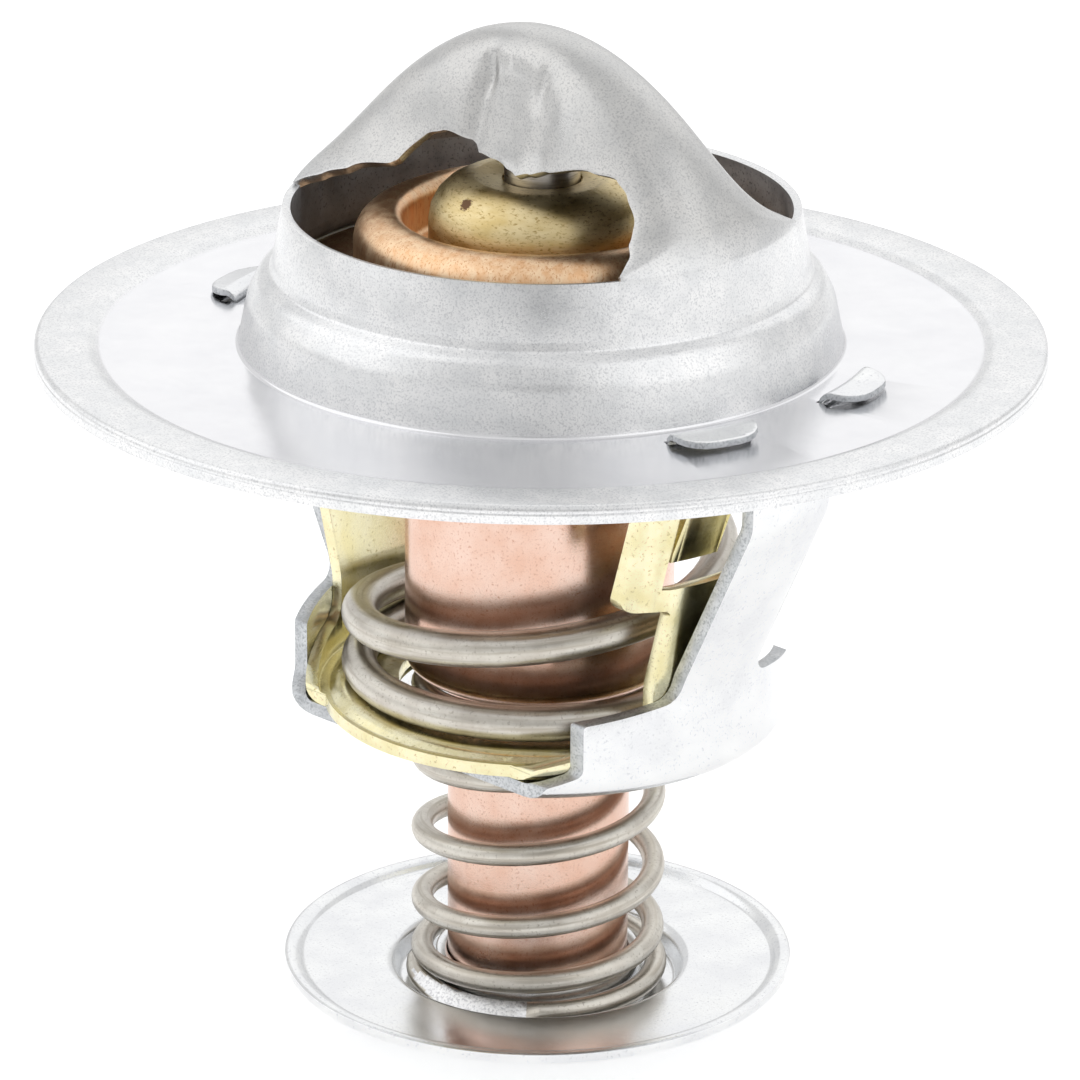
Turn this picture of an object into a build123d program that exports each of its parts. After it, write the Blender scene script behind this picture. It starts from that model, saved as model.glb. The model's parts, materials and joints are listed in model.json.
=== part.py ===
"""Engine thermostat of the flanged kind, with a bypass valve.

Origin at the bottom centre, on the end of the lower barrel. +Z runs up the
piston, and the bridge and the strap's two legs lie along X. Millimetres.
"""

import os
from math import cos, hypot, pi, radians, sin

from build123d import *

os.makedirs("parts", exist_ok=True)

# ---- driving dimensions -------------------------------------------------

flange_radius = 32.0
pressing_sheet = 1.1
rim_width = 3.3
rim_step_width = 0.85
rim_raise = 0.45
rim_bend = 0.6

collar_base_radius = 19.0
collar_lower_taper = 0.65  # how much the collar narrows up to its shoulder
collar_shoulder_rise = 3.3
collar_ledge = 1.25  # width of the slope between shoulder and waist
collar_waist_rise = 4.9
collar_upper_taper = 0.8
collar_height = 8.9
collar_root_bend = 1.5
collar_bend = 0.9

bridge_rise = 20.4  # crest of the bridge above the flange
bridge_foot_half_width = 8.6
bridge_haunch = (0.93, 0.33)  # shares of the foot's radius and of the rise
bridge_shoulder = (0.69, 0.72)
bridge_back = (0.35, 0.95)
flank_foot = (0.62, 0.38)  # shares of the foot's half width and of the rise
flank_back = (0.46, 0.75)
ridge_margin = 0.4  # keeps the two crossing surfaces from touching in a line

window_shallow_inset = 1.7  # ends of each window's sill, inside the collar's top
window_steep_inset = 2.4
window_step_reach = 9.4
window_step_rise = 2.0
window_lintel_rise = 4.7
window_lintel_start = 6.0
window_lintel_end = 11.6
window_corner = 1.5

pocket_radius = 3.3
pocket_clearance = 0.8  # open end of the pocket above the guide body
pocket_cover = 1.5  # crest above the pocket's closed end

pin_radius = 2.4
pin_upper_rise = 17.6
pin_lower_rise = -9.0
pin_tip_chamfer = 0.9

running_gap = 0.05  # radial, where one piece slides in another
seat_gap = 0.03  # between faces that rest on each other

strap_sheet = 0.9
strap_radius = 16.0  # outside of the two curved walls
strap_drop = 25.2  # underside of the strap below the flange
strap_wall_rise = 5.3
strap_wall_slope = 0.9  # how much higher the wall is beside the leg
strap_wall_half_width = 9.9
strap_plate_half_width = 11.2
strap_wall_lead = 1.0  # height over which the plate narrows to the wall
strap_leg_half_width = 4.6
strap_lean_start = 18.6  # below the flange
strap_lean_end = 6.6
strap_head_radius = 21.7
strap_head_half_width = 9.2
strap_head_lead = 3.0
strap_foot_bend = 1.1
strap_lean_bend = 3.0
strap_corner = 2.0

tab_inner_angle = 9.0  # degrees from the leg's middle
tab_outer_angle = 25.0
tab_reach = 1.7
tab_lift = 0.2
tab_bend = 0.55  # middle line
slot_gap = 0.12

seat_sheet = 0.8
seat_flange_inset = 0.77  # inside the frame's curved walls
seat_flange_width = 1.35
seat_step_rise = 0.55
frame_hole_clearance = 0.65  # round the cup
seat_leg_half_width = 4.7
seat_ear_half_width = 7.2
seat_ear_drop = 13.3  # lower edge of the ears below the flange
seat_ear_corner = 1.6
seat_leg_clearance = 1.1  # between the leaning leg and the strap's
seat_bend_drop = 8.8  # the legs turn outward here, clear of the open valve
seat_bend_end = 6.3
seat_foot_width = 2.2
seat_foot_clearance = 0.4  # inside the strap's head
seat_window_half_width = 4.1
seat_window_drop = 11.3
seat_tongue_half_width = 3.3
seat_tongue_drop = 9.4
seat_slit_drop = 4.5  # upper ends of the slits beside the tongue

valve_sheet = 0.8
valve_seat_width = 0.35  # how far up the slope inside the collar its rim seals
valve_crest_outer = 11.85
valve_crest_inner = 8.75
valve_crest_rise = 8.6
valve_floor_rise = 5.6
valve_bend = 0.5

guide_radius = 7.15
guide_top_rise = 10.8
guide_flat_radius = 4.1
guide_neck_length = 3.0
bush_wall = 0.85
bush_setback = 0.4  # below the guide body's top

cup_shoulder_width = 2.75  # the cup is wider than the barrel by this
cup_wall = 0.9
cup_bottom_drop = 22.0
cup_corner = 1.0
wax_corner = 0.7
barrel_radius = 5.9
barrel_wall = 0.9
barrel_floor = 2.5
barrel_tip = 0.27  # below the retaining ring
barrel_head = 1.2  # height of the barrel's head inside the cup

sleeve_radius = 5.0
sleeve_bore_gap = 0.3
sleeve_end_wall = 1.6
sleeve_end_gap = 0.4
sleeve_collar = 1.5
washer_sheet = 1.0

main_wire = 2.3
main_coil_inset = 0.2  # inside the platform's edge
main_turns = 3.75

bypass_wire = 1.45
bypass_coil_clearance = 0.125  # round the bypass plate's neck
bypass_turns = 5.25

plate_sheet = 0.7
plate_floor_drop = 44.2  # floor of the well below the flange
plate_dish = 1.3  # face of the bypass plate above the well's floor
plate_radius = 16.6
plate_rim_raise = 0.6
plate_rim_width = 1.2
plate_well_clearance = 1.075  # round the bypass spring
plate_neck_rise = 2.2
plate_bend = 0.45

ring_section = 0.8
ring_groove_depth = 0.7
ring_width = 1.3  # stands out from the barrel by this
ring_gap_angle = 28.0

# ---- sizes worked out from them -----------------------------------------

flange_top = plate_floor_drop + plate_sheet + seat_gap + ring_section + barrel_tip
sheet_half = pressing_sheet / 2
flange_underside = flange_top - pressing_sheet
rim_inner_radius = flange_radius - rim_width
collar_shoulder_radius = collar_base_radius - collar_lower_taper
collar_waist_radius = collar_shoulder_radius - collar_ledge
collar_top_radius = collar_waist_radius - collar_upper_taper
collar_top = flange_top + collar_height
bridge_crest = flange_top + bridge_rise
strap_bottom = flange_top - strap_drop
seat_plate_bottom = strap_bottom + strap_sheet + seat_gap
spring_seat_top = seat_plate_bottom + seat_sheet + seat_step_rise
cup_radius = barrel_radius + cup_shoulder_width
frame_hole_radius = cup_radius + frame_hole_clearance
seat_wall_radius = strap_radius - strap_sheet - seat_gap
seat_flange_radius = seat_wall_radius - seat_flange_inset
seat_step_radius = seat_flange_radius - seat_flange_width
strap_lean = (strap_head_radius - strap_radius) / (strap_lean_start - strap_lean_end)
strap_at_ears = strap_radius + strap_lean * (strap_lean_start - seat_ear_drop)
strap_inside_at_ears = strap_at_ears - strap_sheet * hypot(1, strap_lean)
seat_leg_top_radius = strap_inside_at_ears - seat_leg_clearance
seat_foot_radius = strap_head_radius - strap_sheet - seat_foot_clearance
seat_head_radius = seat_foot_radius - seat_foot_width
collar_slope = (collar_waist_rise - collar_shoulder_rise) / collar_ledge
slope_inside = collar_shoulder_radius - sheet_half - sheet_half * hypot(1, 1 / collar_slope)
valve_radius = slope_inside - valve_seat_width
valve_seat_rise = collar_shoulder_rise + collar_slope * valve_seat_width
valve_flange_top = flange_top + valve_seat_rise - seat_gap
valve_floor_top = flange_top + valve_floor_rise
valve_floor_underside = valve_floor_top - valve_sheet
guide_top = flange_top + guide_top_rise
guide_bore = pin_radius + running_gap + bush_wall
guide_neck_bottom = valve_floor_underside - guide_neck_length
cup_bottom = flange_top - cup_bottom_drop
cup_bore = cup_radius - cup_wall
barrel_bore_radius = barrel_radius - barrel_wall
cup_shoulder = cup_bottom + cup_wall
barrel_top = cup_shoulder + barrel_head
pin_top = flange_top + pin_upper_rise
pin_bottom = flange_top + pin_lower_rise
washer_bottom = guide_neck_bottom - washer_sheet
sleeve_collar_bottom = washer_bottom - sleeve_collar
sleeve_bore_end = pin_bottom - sleeve_end_gap
sleeve_bottom = sleeve_bore_end - sleeve_end_wall
well_floor_top = flange_top - plate_floor_drop
plate_top = well_floor_top + plate_dish
ring_bottom = well_floor_top - plate_sheet - ring_section - seat_gap
ring_groove_radius = barrel_radius - ring_groove_depth
ring_outer_radius = barrel_radius + ring_width
plate_neck_radius = barrel_radius + running_gap + plate_sheet
bypass_coil_radius = plate_neck_radius + bypass_coil_clearance + bypass_wire / 2
plate_well_radius = bypass_coil_radius + bypass_wire / 2 + plate_well_clearance
main_coil_radius = seat_step_radius - main_coil_inset - main_wire / 2
clear_margin = 1.0  # how far a cutting volume stands past what it cuts


# ---- shared helpers -----------------------------------------------------


def band(points, radii, thickness):
    """Face of a bent sheet, drawn in the XZ plane from its middle line."""
    return Plane.XZ * trace(FilletPolyline(*points, radius=radii), thickness)


def turned_sheet(points, radii, thickness):
    """Sheet pressed round: the bent sheet's section turned about Z."""
    return revolve(band(points, radii, thickness), Axis.Z)


def turned(points):
    """Solid turned about Z from a closed outline of (radius, height)."""
    outline = Plane.XZ * Polyline(*points, close=True)
    return revolve(make_face(outline), Axis.Z)


def rod(radius, bottom, top):
    """Plain round rod between two heights."""
    standing = (Align.CENTER, Align.CENTER, Align.MIN)
    return Pos(0, 0, bottom) * Cylinder(radius, top - bottom, align=standing)


def tube(outer, inner, bottom, top):
    """Round tube between two heights."""
    return rod(outer, bottom, top) - rod(inner, bottom, top)


def slab(low, high):
    """Box between two opposite corners."""
    size = [b - a for a, b in zip(low, high)]
    middle = [(a + b) / 2 for a, b in zip(low, high)]
    return Pos(*middle) * Box(*size)


def sector(inner, outer, half_angle, bottom, top):
    """Part of a ring about Z, centred on +X."""
    reach = 2 * outer * cos(radians(half_angle))
    side = 2 * outer * sin(radians(half_angle))
    wedge = make_face(Polyline((0, 0), (reach, -side), (reach, side), close=True))
    prism = Pos(0, 0, bottom) * extrude(wedge, top - bottom)
    return tube(outer, inner, bottom, top) & prism


def leg_prism(half, radii):
    """Both legs' side outline, given for +Y from the bottom up, along X."""
    other = [(-y, z) for y, z in reversed(half)]
    outline = FilletPolyline(*half, *other, radius=radii + radii[::-1], close=True)
    return extrude(make_face(Plane.YZ * outline), flange_radius, both=True)


# ---- flange, collar and bridge: one pressing ----------------------------


def flange_and_collar():
    """Raised rim, flat annulus and stepped collar."""
    annulus = flange_top - sheet_half
    rim = annulus + rim_raise
    points = [
        (flange_radius, rim),
        (rim_inner_radius, rim),
        (rim_inner_radius - rim_step_width, annulus),
        (collar_base_radius - sheet_half, annulus),
        (collar_shoulder_radius - sheet_half, flange_top + collar_shoulder_rise),
        (collar_waist_radius - sheet_half, flange_top + collar_waist_rise),
        (collar_top_radius - sheet_half, collar_top),
    ]
    radii = [rim_bend, rim_bend, collar_root_bend, collar_bend, collar_bend]
    return turned_sheet(points, radii, pressing_sheet)


def hood(inset):
    """Closed hood of the bridge, set in all round by the given amount."""
    rise = bridge_rise - collar_height

    def on_arch(shares):
        return foot * shares[0], collar_top + shares[1] * rise - inset

    def on_flank(shares):
        return half * shares[0], collar_top + shares[1] * rise

    foot = collar_top_radius - inset
    crest = bridge_crest - inset
    haunches = [on_arch(bridge_haunch), on_arch(bridge_shoulder), on_arch(bridge_back)]
    arch = Spline((foot, collar_top), *haunches, (0, crest), tangents=((-0.1, 1), (-1, 0)))
    base = Line((0, collar_top), (foot, collar_top))
    spine = Line((0, crest), (0, collar_top))
    dome = revolve(make_face(Plane.XZ * (arch + base + spine)), Axis.Z)

    half = bridge_foot_half_width - inset
    peak = (0, crest + ridge_margin)
    sides = [on_flank(flank_foot), on_flank(flank_back)]
    flank = Spline((half, collar_top), *sides, peak, tangents=((-0.6, 0.8), (-1, 0)))
    below = collar_top - ridge_margin
    skirt = Polyline((half, collar_top), (half, below), (-half, below), (-half, collar_top))
    section = Plane.YZ * (flank + mirror(flank, Plane.YZ) + skirt)
    ridge = extrude(make_face(section), flange_radius, both=True)
    return dome & ridge


def window():
    """Opening punched in one side of the hood, drawn looking along Y."""
    lintel = collar_top + window_lintel_rise
    shallow_root = collar_top_radius - window_shallow_inset
    steep_root = collar_top_radius - window_steep_inset
    outline = FilletPolyline(
        (-shallow_root, collar_top),
        (-window_step_reach, collar_top + window_step_rise),
        (-window_lintel_start, lintel),
        (window_lintel_end, lintel),
        (steep_root, collar_top),
        radius=window_corner,
    )
    sill = Line((-shallow_root, collar_top), (steep_root, collar_top))
    return extrude(make_face(Plane.XZ * (outline + sill)), flange_radius, dir=(0, -1, 0))


def pin_pocket():
    """Pocket crimped round the pin, hanging from the hood's crest."""
    return rod(pocket_radius, guide_top + pocket_clearance, bridge_crest - pocket_cover)


def degrees_of(length, radius):
    """Angle that a short length takes up on a circle."""
    return length / radius * 180 / pi


def strap_slot():
    """One slot for a tab, centred on +X."""
    half = (tab_outer_angle - tab_inner_angle) / 2
    return sector(
        strap_head_radius - strap_sheet - slot_gap,
        strap_head_radius + slot_gap,
        half + degrees_of(slot_gap, strap_head_radius),
        flange_underside - clear_margin,
        flange_top + clear_margin,
    )


def tab_angles():
    """Where the four tabs stand round the flange."""
    middle = (tab_inner_angle + tab_outer_angle) / 2
    return [side + turn for side in (0, 180) for turn in (-middle, middle)]


def flange_housing():
    """The whole pressing, with its windows, pocket and slots."""
    front = window()
    shell = hood(0) - hood(pressing_sheet) - front - Rot(0, 0, 180) * front
    body = flange_and_collar() + shell + pin_pocket()
    for angle in tab_angles():
        body = body - Rot(0, 0, angle) * strap_slot()
    return body - rod(pin_radius, pin_bottom, pin_top)


# ---- lower strap --------------------------------------------------------


def strap_skin():
    """The strap's sheet as if it ran all the way round, tabs bent over."""
    middle = strap_sheet / 2
    wall = strap_radius - middle
    head = strap_head_radius - middle
    tab_height = flange_top + tab_lift + middle
    points = [
        (frame_hole_radius, strap_bottom + middle),
        (wall, strap_bottom + middle),
        (wall, flange_top - strap_lean_start),
        (head, flange_top - strap_lean_end),
        (head, tab_height),
        (strap_head_radius + tab_reach, tab_height),
    ]
    radii = [strap_foot_bend, strap_lean_bend, strap_lean_bend, tab_bend]
    return turned_sheet(points, radii, strap_sheet)


def strap_outline():
    """Side outline of the strap: plate, walls, narrow legs and wide heads."""
    plate_top_edge = strap_bottom + strap_sheet
    wall_top = strap_bottom + strap_wall_rise
    head_start = flange_top - strap_lean_end
    half = [
        (strap_plate_half_width, strap_bottom - clear_margin),
        (strap_plate_half_width, plate_top_edge),
        (strap_wall_half_width, plate_top_edge + strap_wall_lead),
        (strap_wall_half_width, wall_top),
        (strap_leg_half_width, wall_top + strap_wall_slope),
        (strap_leg_half_width, head_start),
        (strap_head_half_width, head_start + strap_head_lead),
        (strap_head_half_width, flange_underside - seat_gap),
    ]
    lead = strap_wall_lead / 3
    corner = strap_corner
    return leg_prism(half, [0, lead, lead, corner * 0.6, corner, corner, corner * 0.75, 0])


def tab_space():
    """Room of one tab from below the flange up, centred on +X."""
    return sector(
        strap_head_radius - 2 * strap_sheet,
        flange_radius,
        (tab_outer_angle - tab_inner_angle) / 2,
        flange_underside - clear_margin,
        flange_top + tab_lift + strap_sheet + clear_margin,
    )


def lower_strap():
    """Pressed strap with its walls, legs and four bent tabs."""
    room = strap_outline()
    for angle in tab_angles():
        room = room + Rot(0, 0, angle) * tab_space()
    return strap_skin() & room


# ---- spring seat frame --------------------------------------------------


def seat_skin():
    """The frame's sheet as if its legs ran all the way round."""
    middle = seat_sheet / 2
    plate = seat_plate_bottom + middle
    wall = seat_wall_radius - middle
    leg_top = seat_leg_top_radius - middle
    head = seat_head_radius - middle
    foot = flange_underside - seat_gap - middle
    points = [
        (frame_hole_radius, plate + seat_step_rise),
        (seat_step_radius, plate + seat_step_rise),
        (seat_step_radius + seat_step_rise, plate),
        (wall, plate),
        (wall, flange_top - strap_lean_start),
        (leg_top, flange_top - seat_ear_drop),
        (leg_top, flange_top - seat_bend_drop),
        (head, flange_top - seat_bend_end),
        (head, foot),
        (seat_foot_radius, foot),
    ]
    step = seat_sheet / 2
    lean = strap_lean_bend
    radii = [step, step, seat_sheet, lean, lean, seat_sheet, seat_sheet, seat_sheet]
    return turned_sheet(points, radii, seat_sheet)


def seat_outline():
    """Side outline of the frame's legs: narrow below, wide ears above."""
    plate_top_edge = seat_plate_bottom + seat_sheet
    ear_bottom = flange_top - seat_ear_drop
    half = [
        (strap_plate_half_width, seat_plate_bottom - clear_margin),
        (strap_plate_half_width, plate_top_edge),
        (seat_leg_half_width, plate_top_edge + seat_sheet),
        (seat_leg_half_width, ear_bottom),
        (seat_ear_half_width, ear_bottom),
        (seat_ear_half_width, flange_top),
    ]
    small = seat_sheet / 2
    return leg_prism(half, [0, small, seat_sheet, seat_sheet, seat_ear_corner, 0])


def seat_window():
    """Window below the tongue and the two slits beside it, along X."""
    tongue = flange_top - seat_tongue_drop
    opening = slab(
        (-flange_radius, -seat_window_half_width, flange_top - seat_window_drop),
        (flange_radius, seat_window_half_width, tongue),
    )
    for side in (-1, 1):
        near, far = sorted((side * seat_tongue_half_width, side * seat_window_half_width))
        slit_top = flange_top - seat_slit_drop
        opening = opening + slab((-flange_radius, near, tongue), (flange_radius, far, slit_top))
    return opening


def spring_seat_frame():
    """Yellow frame that carries the main spring's lower end."""
    above = spring_seat_top + clear_margin
    platform = rod(seat_flange_radius, seat_plate_bottom - clear_margin, above)
    return (seat_skin() & (platform + seat_outline())) - seat_window()


# ---- main valve and wax element -----------------------------------------


def valve_plate():
    """Copper valve: floor, rounded crest and sealing flange."""
    middle = valve_sheet / 2
    crest = flange_top + valve_crest_rise - middle
    inner = valve_crest_inner + middle
    outer = valve_crest_outer - middle
    points = [
        (guide_radius, valve_floor_top - middle),
        (inner, valve_floor_top - middle),
        (inner, crest),
        (outer, crest),
        (outer, valve_flange_top - middle),
        (valve_radius, valve_flange_top - middle),
    ]
    crest_bend = 0.49 * (outer - inner)
    return turned_sheet(points, [valve_bend, crest_bend, crest_bend, valve_bend], valve_sheet)


def guide_body():
    """Brass body: rounded dome, waist through the valve and neck inside the cup."""
    dome = tube(guide_radius, guide_bore, valve_floor_underside, guide_top)
    rims = dome.edges().filter_by(GeomType.CIRCLE).sort_by(SortBy.RADIUS)
    shoulder = rims.filter_by(lambda edge: edge.center().Z > valve_floor_top)[-1]
    dome = fillet(shoulder, guide_radius - guide_flat_radius)
    return dome + tube(cup_bore, guide_bore, guide_neck_bottom, valve_floor_underside)


def guide_bush():
    """Bearing bush in the guide body, in which the piston slides."""
    top = guide_top - bush_setback
    return tube(guide_bore, pin_radius + running_gap, guide_neck_bottom, top)


def piston_pin():
    """Polished pin fixed in the bridge's pocket, with a tapered inner end."""
    pin = rod(pin_radius, pin_bottom, pin_top)
    return chamfer(pin.edges().sort_by(Axis.Z)[0], pin_tip_chamfer)


def wax_cup():
    """Deep-drawn copper cup with an inward shoulder for the bypass spring."""
    middle = cup_wall / 2
    points = [
        (cup_radius - middle, valve_floor_underside),
        (cup_radius - middle, cup_bottom + middle),
        (barrel_radius, cup_bottom + middle),
    ]
    return turned_sheet(points, [cup_corner], cup_wall)


def lower_barrel():
    """Copper barrel that carries the bypass plate, closed at its lower end."""
    groove_bottom = ring_bottom - seat_gap
    groove_top = ring_bottom + ring_section + seat_gap / 2
    return turned(
        [
            (0, 0),
            (barrel_radius, 0),
            (barrel_radius, groove_bottom),
            (ring_groove_radius, groove_bottom),
            (ring_groove_radius, groove_top),
            (barrel_radius, groove_top),
            (barrel_radius, barrel_top),
            (barrel_bore_radius, barrel_top),
            (barrel_bore_radius, barrel_floor),
            (0, barrel_floor),
        ]
    )


def retaining_ring():
    """Open spring ring in the barrel's groove, below the bypass plate."""
    top = ring_bottom + ring_section
    ring = tube(ring_outer_radius, ring_groove_radius + seat_gap, ring_bottom, top)
    opening = sector(
        barrel_bore_radius,
        ring_outer_radius + clear_margin,
        ring_gap_angle / 2,
        ring_bottom - clear_margin,
        top + clear_margin,
    )
    return ring - opening


def rubber_sleeve():
    """Rubber sleeve closed round the piston's lower end."""
    bore = pin_radius + sleeve_bore_gap
    return turned(
        [
            (0, sleeve_bottom),
            (sleeve_radius, sleeve_bottom),
            (sleeve_radius, sleeve_collar_bottom),
            (cup_bore, sleeve_collar_bottom),
            (cup_bore, washer_bottom),
            (bore, washer_bottom),
            (bore, sleeve_bore_end),
            (0, sleeve_bore_end),
        ]
    )


def anti_extrusion_washer():
    """Washer between the rubber sleeve and the guide body."""
    return tube(cup_bore, pin_radius + running_gap, washer_bottom, guide_neck_bottom)


def wax_charge():
    """Wax that fills the cup and the barrel round the rubber sleeve."""
    block = turned(
        [
            (0, barrel_floor),
            (barrel_bore_radius, barrel_floor),
            (barrel_bore_radius, barrel_top),
            (barrel_radius, barrel_top),
            (barrel_radius, cup_shoulder),
            (cup_bore - wax_corner, cup_shoulder),
            (cup_bore, cup_shoulder + wax_corner),
            (cup_bore, sleeve_collar_bottom),
            (0, sleeve_collar_bottom),
        ]
    )
    return block - rod(sleeve_radius, sleeve_bottom, sleeve_collar_bottom)


# ---- springs and bypass plate -------------------------------------------


def coil(radius, wire, bottom, top, turns):
    """Round-wire coil spring between two seats."""
    height = top - bottom - wire
    path = Pos(0, 0, bottom + wire / 2) * Helix(height / turns, height, radius)
    section = Plane(origin=path @ 0, z_dir=path % 0) * Circle(wire / 2)
    return sweep(section, path)


def main_spring():
    """Spring that holds the main valve shut."""
    bottom = spring_seat_top + seat_gap
    top = valve_flange_top - valve_sheet - seat_gap
    return coil(main_coil_radius, main_wire, bottom, top, main_turns)


def bypass_spring():
    """Spring that holds the bypass plate down on its ring."""
    bottom = well_floor_top + seat_gap
    top = cup_bottom - seat_gap
    return coil(bypass_coil_radius, bypass_wire, bottom, top, bypass_turns)


def bypass_plate():
    """Dished plate: guide neck, well, face and rolled rim."""
    middle = plate_sheet / 2
    floor = well_floor_top - middle
    face = plate_top - middle
    neck = plate_neck_radius - middle
    slope = plate_rim_width / 6
    points = [
        (neck, well_floor_top + plate_neck_rise),
        (neck, floor),
        (plate_well_radius - slope, floor),
        (plate_well_radius + slope, face),
        (plate_radius - plate_rim_width, face),
        (plate_radius - plate_rim_width + 2 * slope, face + plate_rim_raise),
        (plate_radius, face + plate_rim_raise - slope / 2),
    ]
    return turned_sheet(points, [plate_bend] * 5, plate_sheet)


# ---- every piece in its own file ----------------------------------------

pieces = {
    "flange_housing": flange_housing,
    "piston_pin": piston_pin,
    "lower_strap": lower_strap,
    "spring_seat_frame": spring_seat_frame,
    "valve_plate": valve_plate,
    "guide_body": guide_body,
    "guide_bush": guide_bush,
    "wax_cup": wax_cup,
    "lower_barrel": lower_barrel,
    "rubber_sleeve": rubber_sleeve,
    "anti_extrusion_washer": anti_extrusion_washer,
    "wax_charge": wax_charge,
    "main_spring": main_spring,
    "bypass_spring": bypass_spring,
    "bypass_plate": bypass_plate,
    "retaining_ring": retaining_ring,
}

for name, make in pieces.items():
    export_step(make(), f"parts/{name}.step")
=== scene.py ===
import json
from math import atan2, cos, degrees, exp, hypot, pi, radians, sin, sqrt, tan

import bmesh
import bpy
from mathutils import Matrix, Vector
from mathutils.kdtree import KDTree


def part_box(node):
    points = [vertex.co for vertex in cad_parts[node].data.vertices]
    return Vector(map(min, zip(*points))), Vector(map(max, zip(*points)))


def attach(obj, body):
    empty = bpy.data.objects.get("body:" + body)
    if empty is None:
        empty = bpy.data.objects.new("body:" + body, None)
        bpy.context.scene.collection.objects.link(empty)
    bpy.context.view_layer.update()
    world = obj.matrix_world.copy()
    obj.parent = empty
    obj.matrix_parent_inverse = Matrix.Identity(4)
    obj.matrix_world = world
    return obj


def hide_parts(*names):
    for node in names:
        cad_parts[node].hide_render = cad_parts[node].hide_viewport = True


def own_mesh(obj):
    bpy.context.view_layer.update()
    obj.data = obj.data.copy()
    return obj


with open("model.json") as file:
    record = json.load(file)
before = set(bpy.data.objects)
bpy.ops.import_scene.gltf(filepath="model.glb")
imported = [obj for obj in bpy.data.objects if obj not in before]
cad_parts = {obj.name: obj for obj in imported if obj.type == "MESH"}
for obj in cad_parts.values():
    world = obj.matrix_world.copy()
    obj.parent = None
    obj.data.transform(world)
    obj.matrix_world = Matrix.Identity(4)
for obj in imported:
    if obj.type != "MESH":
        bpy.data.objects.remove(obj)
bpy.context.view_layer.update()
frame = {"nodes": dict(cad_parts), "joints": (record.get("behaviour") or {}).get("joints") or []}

# ---- places taken from the frame, in millimetres -------------------------

MM = 0.001


def low(node, axis="z"):
    """Lowest coordinate of a CAD node along one axis."""
    return getattr(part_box(node)[0], axis) / MM


def high(node, axis="z"):
    """Highest coordinate of a CAD node along one axis."""
    return getattr(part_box(node)[1], axis) / MM


PRESSING_SHEET = 1.1
FLANGE_RADIUS = high("flange_housing", "x")
FLANGE_TOP = low("flange_housing") + PRESSING_SHEET  # face inside the raised rim
RIM_WIDTH = 3.3
RIM_STEP = 0.85
STRAP_BOTTOM = low("lower_strap")
STRAP_SHEET = 0.9
SEAT_SHEET = 0.8
SEAT_BOTTOM = low("spring_seat_frame")
VALVE_SHEET = 0.8
PLATE_SHEET = 0.7
FRONT = -46.0  # degrees round Z, midway between the strap's leg and a window's middle

# ---- making meshes ---------------------------------------------------------

TURN_STEPS = 288  # 1.25 degrees a step, so that edges and slots fall on a step
STEP_ANGLE = 2 * pi / TURN_STEPS
SAME_PLACE = 0.004
SHARP_TURN = radians(38)  # shading breaks at sharper edges than this
CUT_TURN = radians(55)  # edges left by a cut turn more than this


def ring_edges(bm, radius, height):
    """Edges of one ring of a turned mesh."""
    def on_ring(vert):
        off = abs(hypot(vert.co.x, vert.co.y) - radius)
        return off < SAME_PLACE and abs(vert.co.z - height) < SAME_PLACE

    return [edge for edge in bm.edges if all(on_ring(v) for v in edge.verts)]


def round_off(bm, edges, width, segments):
    """Bevels edges to a round of so many segments."""
    bmesh.ops.bevel(
        bm, geom=edges, offset=width, offset_type="OFFSET", segments=segments,
        profile=0.5, affect="EDGES", clamp_overlap=True, material=-1,
    )


def roll(bm, edges, radius):
    """Rolls sharp edges over to a bend radius."""
    turn = max(edge.calc_face_angle(0.0) for edge in edges)
    round_off(bm, edges, radius * tan(turn / 2), 5)


def turned(section, bends=(), closed=False, angle=2 * pi, steps=TURN_STEPS):
    """Spins a section of (radius, height) corners round Z and rolls its bends.

    bends holds (corner number, radius) pairs.
    """
    bm = bmesh.new()
    verts = [bm.verts.new((r, 0, z)) for r, z in section]
    edges = [bm.edges.new(pair) for pair in zip(verts, verts[1:])]
    if closed:
        edges.append(bm.edges.new((verts[-1], verts[0])))
    whole = abs(angle - 2 * pi) < SAME_PLACE
    bmesh.ops.spin(
        bm, geom=verts + edges, axis=(0, 0, 1), cent=(0, 0, 0),
        angle=angle, steps=steps, use_merge=whole,
    )
    bmesh.ops.remove_doubles(bm, verts=bm.verts, dist=SAME_PLACE / 4)
    bmesh.ops.recalc_face_normals(bm, faces=bm.faces)
    for corner, radius in bends:
        roll(bm, ring_edges(bm, *section[corner]), radius)
    return bm


def thicken(bm, sheet, outside, share=None):
    """Gives an open sheet its thickness, away from the side that outside(face) names.

    share(place) is how much of the thickness is left where the drawing thinned it.
    """
    if sum(1 if outside(face) else -1 for face in bm.faces) < 0:
        bmesh.ops.reverse_faces(bm, faces=bm.faces)
    bm.normal_update()
    skin = list(bm.verts)
    behind = KDTree(len(skin))
    for number, vert in enumerate(skin):
        behind.insert(vert.co - vert.normal * sheet, number)
    behind.balance()
    bmesh.ops.solidify(bm, geom=bm.faces, thickness=sheet)
    known = set(skin)
    inner = {vert for vert in bm.verts if vert not in known}
    if share:
        for vert in inner:
            partner = skin[behind.find(vert.co)[1]]
            vert.co = partner.co.lerp(vert.co, share(partner.co))
    for face in bm.faces:
        face.material_index = 1 if inner.issuperset(face.verts) else 0
    return bm


def ease(bm, width):
    """Takes the sharpness off cut edges."""
    edges = [e for e in bm.edges if e.is_manifold and e.calc_face_angle(0.0) > CUT_TURN]
    round_off(bm, edges, width, 2)
    return bm


def capped(bm):
    """Closes the open ends of a mesh."""
    bmesh.ops.holes_fill(bm, edges=bm.edges)
    bmesh.ops.recalc_face_normals(bm, faces=bm.faces)
    return bm


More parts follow.
